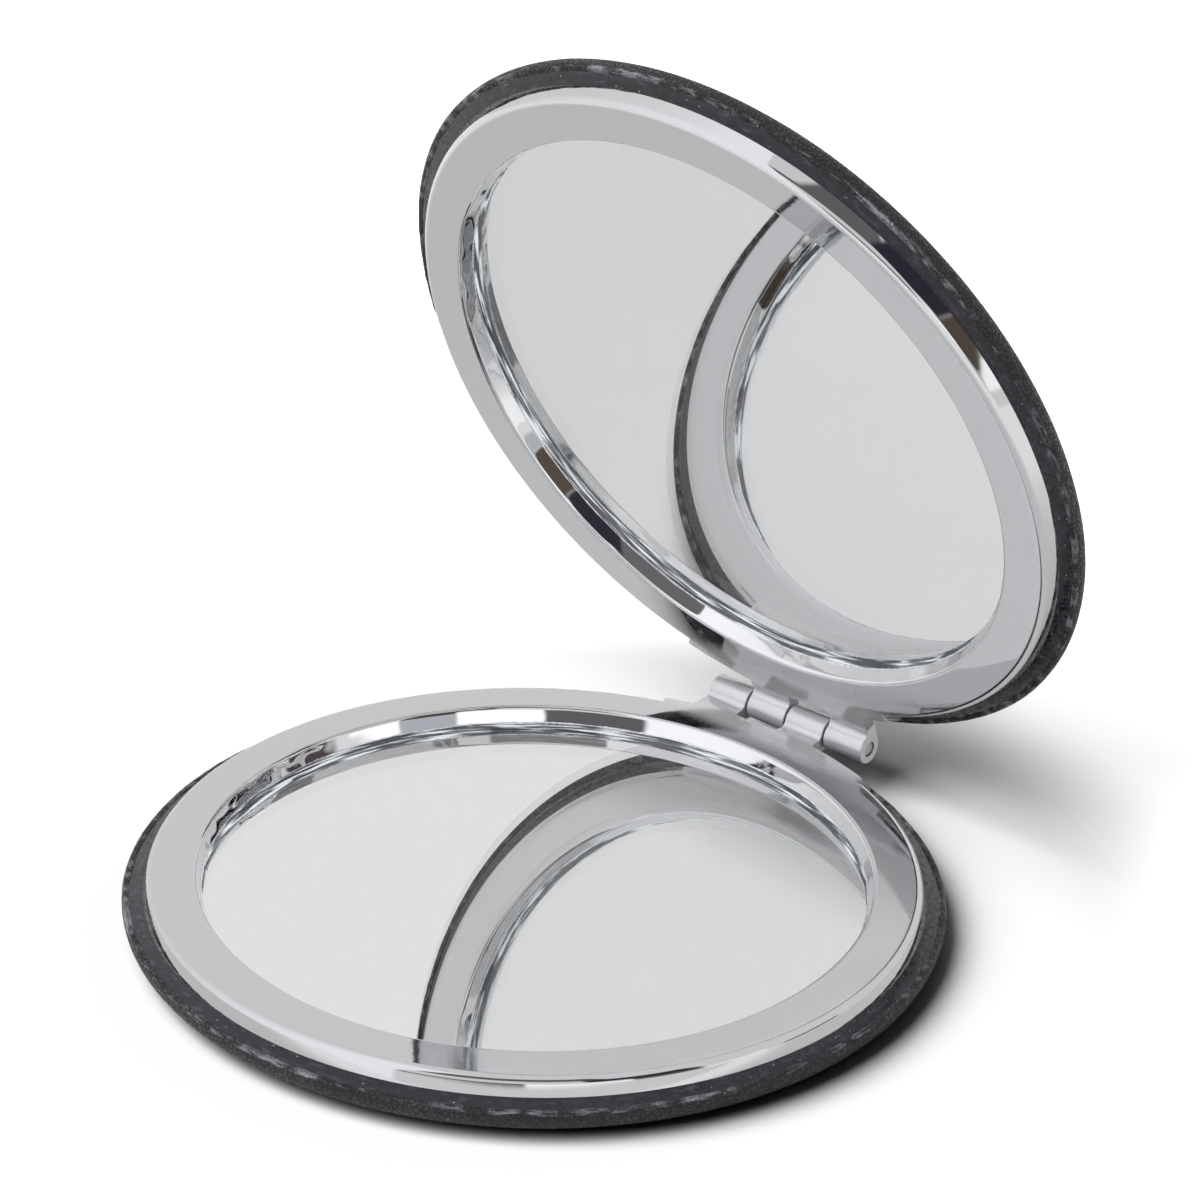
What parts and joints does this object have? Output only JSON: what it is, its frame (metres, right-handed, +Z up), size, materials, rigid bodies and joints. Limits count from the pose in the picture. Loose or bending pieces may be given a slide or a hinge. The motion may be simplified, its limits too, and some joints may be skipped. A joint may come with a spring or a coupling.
{
  "type": "compact mirror",
  "caption": "Round folding compact mirror: chrome frames with glass mirrors, black padded leather backs, and a knuckle hinge.",
  "frame": {"origin": "centre of the flat that the base rests on, under the middle of the base", "axes": "+X along the hinge axis, +Y from the opening side towards the hinge, +Z up from the rest face"},
  "size_m": [0.07, 0.0739, 0.0722],
  "materials": {
    "chrome": "bright chrome plate on a zinc casting",
    "mirror": "silvered on the back of clear glass",
    "tape": "white double-sided tape",
    "tray": "glossy black moulding",
    "magnet": "nickel plated",
    "foam": "dark closed-cell foam",
    "leather": "black imitation leather, fine grain, satin",
    "pin": "plain steel"
  },
  "bodies": {
    "base": {"base_frame": "chrome", "base_mirror": "mirror", "base_mirror_tape": "tape", "base_frame_tape": "tape", "base_tray": "tray", "base_magnet": "magnet", "base_foam": "foam", "base_leather": "leather", "hinge_pin": "pin"},
    "lid": {"lid_frame": "chrome", "lid_mirror": "mirror", "lid_mirror_tape": "tape", "lid_frame_tape": "tape", "lid_tray": "tray", "lid_magnet": "magnet", "lid_foam": "foam", "lid_leather": "leather"}
  },
  "joints": [
    {"name": "lid_hinge", "type": "hinge", "parent": "base", "child": "lid", "pos_m": [0, 0.0358, 0.00511], "axis": [-1, 0, 0], "range_deg": [-69, 111]}
  ]
}
